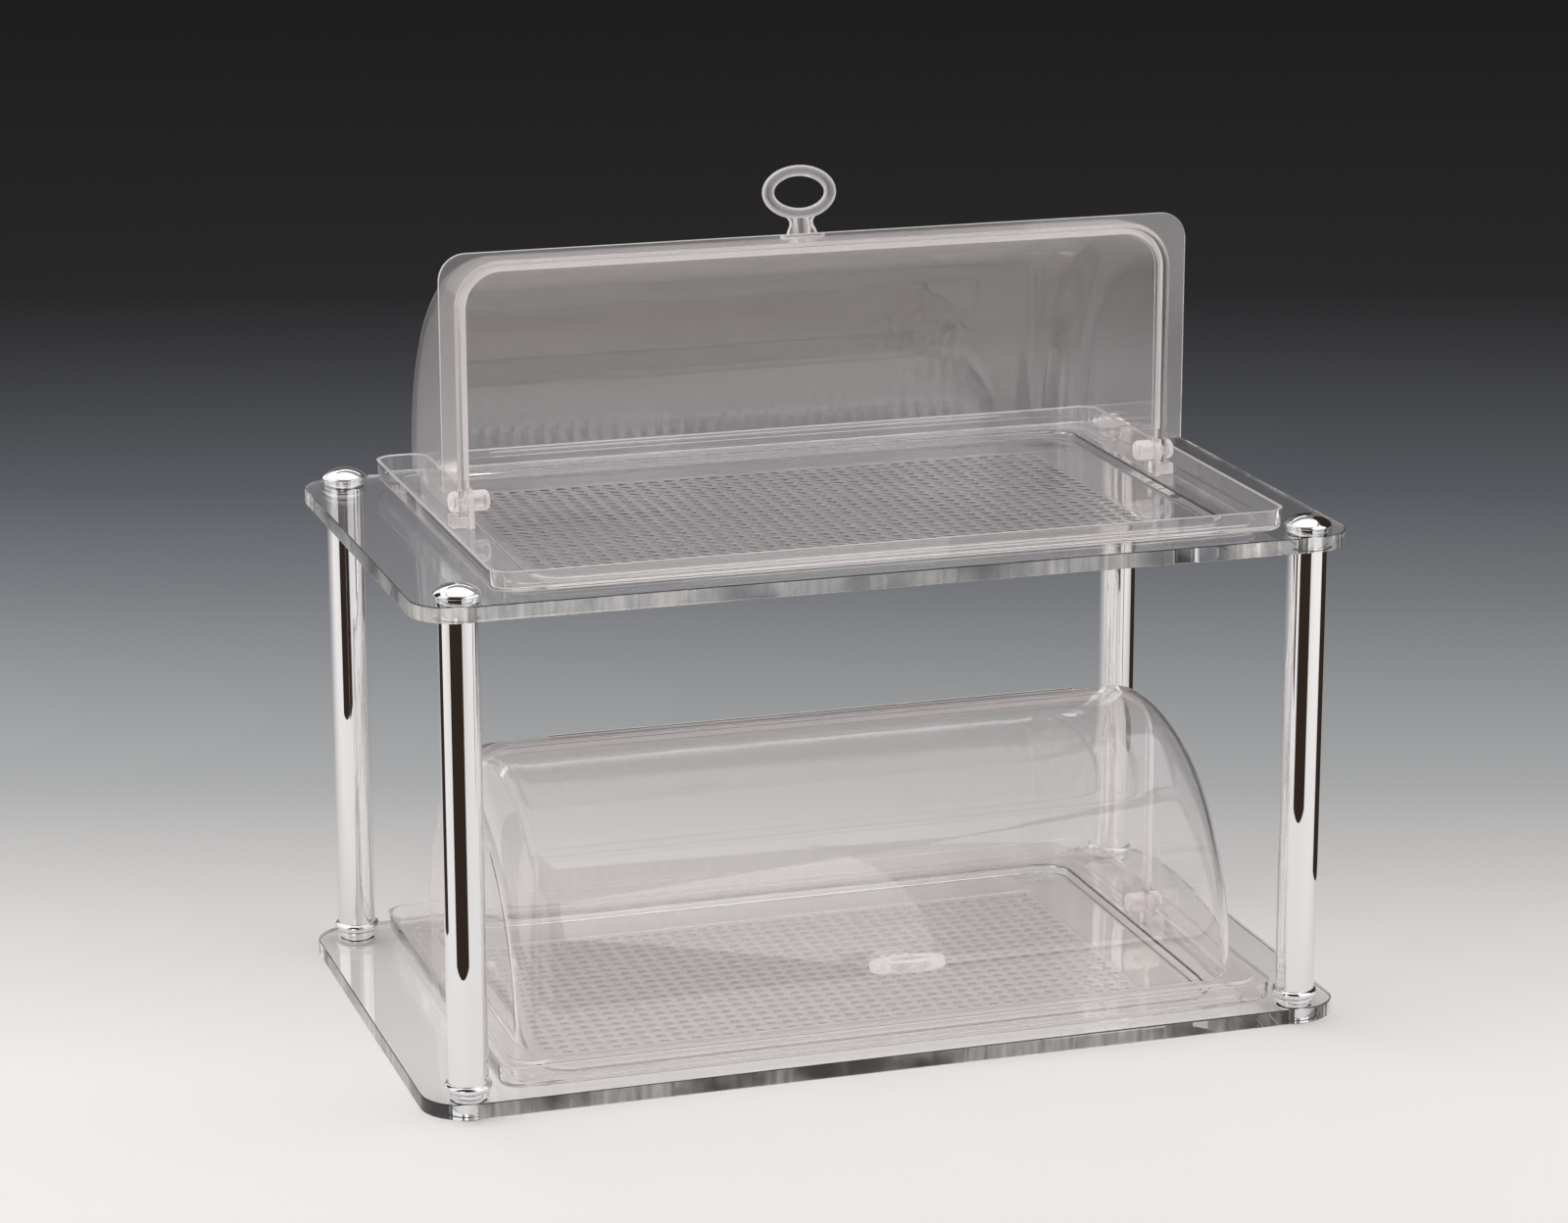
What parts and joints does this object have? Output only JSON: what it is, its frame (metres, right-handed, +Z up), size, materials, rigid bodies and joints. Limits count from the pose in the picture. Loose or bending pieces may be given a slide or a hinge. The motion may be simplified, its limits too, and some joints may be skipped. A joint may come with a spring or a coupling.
{
  "type": "countertop bread display bin",
  "caption": "Two-tier acrylic countertop stand on chromed posts, with a clear roll-top bread bin with hinged cover and ring handle on each shelf.",
  "frame": {"origin": "On the counter, under the middle of the whole outline. The stand's own middle lies 12.2 mm behind it, because the lower handle reaches past the base plate.", "axes": "+Z up, customer's side at -Y, +X along the long edge to the right as the customer sees it"},
  "size_m": [0.6, 0.3749, 0.5374],
  "materials": {
    "clear_acrylic": "clear, polished edges",
    "clear_plastic": "clear moulded plastic, faintly pink",
    "chrome": "polished chrome plate",
    "steel_rod": "plain zinc-plated threaded rod",
    "nylon": "black nylon"
  },
  "bodies": {
    "stand": {"base_plate": "clear_acrylic", "shelf_plate": "clear_acrylic", "front_left_foot": "chrome", "front_left_base_disc": "chrome", "front_left_base_ring": "chrome", "front_left_tube": "chrome", "front_left_tie_rod": "steel_rod", "front_left_cap_disc": "chrome", "front_left_dome_cap": "chrome", "rear_left_foot": "chrome", "rear_left_base_disc": "chrome", "rear_left_base_ring": "chrome", "rear_left_tube": "chrome", "rear_left_tie_rod": "steel_rod", "rear_left_cap_disc": "chrome", "rear_left_dome_cap": "chrome", "front_right_foot": "chrome", "front_right_base_disc": "chrome", "front_right_base_ring": "chrome", "front_right_tube": "chrome", "front_right_tie_rod": "steel_rod", "front_right_cap_disc": "chrome", "front_right_dome_cap": "chrome", "rear_right_foot": "chrome", "rear_right_base_disc": "chrome", "rear_right_base_ring": "chrome", "rear_right_tube": "chrome", "rear_right_tie_rod": "steel_rod", "rear_right_cap_disc": "chrome", "rear_right_dome_cap": "chrome", "lower_tube_plugs": "nylon", "upper_tube_plugs": "nylon"},
    "lower_bin_tray": {"lower_tray": "clear_plastic"},
    "lower_fixed_cover": {"lower_rear_cover": "clear_plastic", "lower_left_hinge_pin": "clear_plastic", "lower_left_hinge_washer": "clear_plastic", "lower_left_hinge_nut": "clear_plastic", "lower_right_hinge_pin": "clear_plastic", "lower_right_hinge_washer": "clear_plastic", "lower_right_hinge_nut": "clear_plastic"},
    "lower_moving_cover": {"lower_front_cover": "clear_plastic", "lower_handle": "clear_plastic"},
    "upper_bin_tray": {"upper_tray": "clear_plastic"},
    "upper_fixed_cover": {"upper_rear_cover": "clear_plastic", "upper_left_hinge_pin": "clear_plastic", "upper_left_hinge_washer": "clear_plastic", "upper_left_hinge_nut": "clear_plastic", "upper_right_hinge_pin": "clear_plastic", "upper_right_hinge_washer": "clear_plastic", "upper_right_hinge_nut": "clear_plastic"},
    "upper_moving_cover": {"upper_front_cover": "clear_plastic", "upper_handle": "clear_plastic"}
  },
  "joints": [
    {"name": "lower_bin_slide", "type": "slide", "parent": "stand", "child": "lower_bin_tray", "axis": [0, -1, 0], "range_m": [0, 0.34]},
    {"name": "lower_cover_lift", "type": "slide", "parent": "lower_bin_tray", "child": "lower_fixed_cover", "axis": [0, 0, 1], "range_m": [0, 0.1]},
    {"name": "lower_cover_hinge", "type": "hinge", "parent": "lower_fixed_cover", "child": "lower_moving_cover", "pos_m": [0, 0.00423, 0.0355], "axis": [-1, 0, 0], "range_deg": [0, 90]},
    {"name": "upper_bin_lift", "type": "slide", "parent": "stand", "child": "upper_bin_tray", "axis": [0, 0, 1], "range_m": [0, 0.2]},
    {"name": "upper_cover_lift", "type": "slide", "parent": "upper_bin_tray", "child": "upper_fixed_cover", "axis": [0, 0, 1], "range_m": [0, 0.15]},
    {"name": "upper_cover_hinge", "type": "hinge", "parent": "upper_fixed_cover", "child": "upper_moving_cover", "pos_m": [0, 0.00423, 0.3455], "axis": [1, 0, 0], "range_deg": [0, 90]}
  ]
}
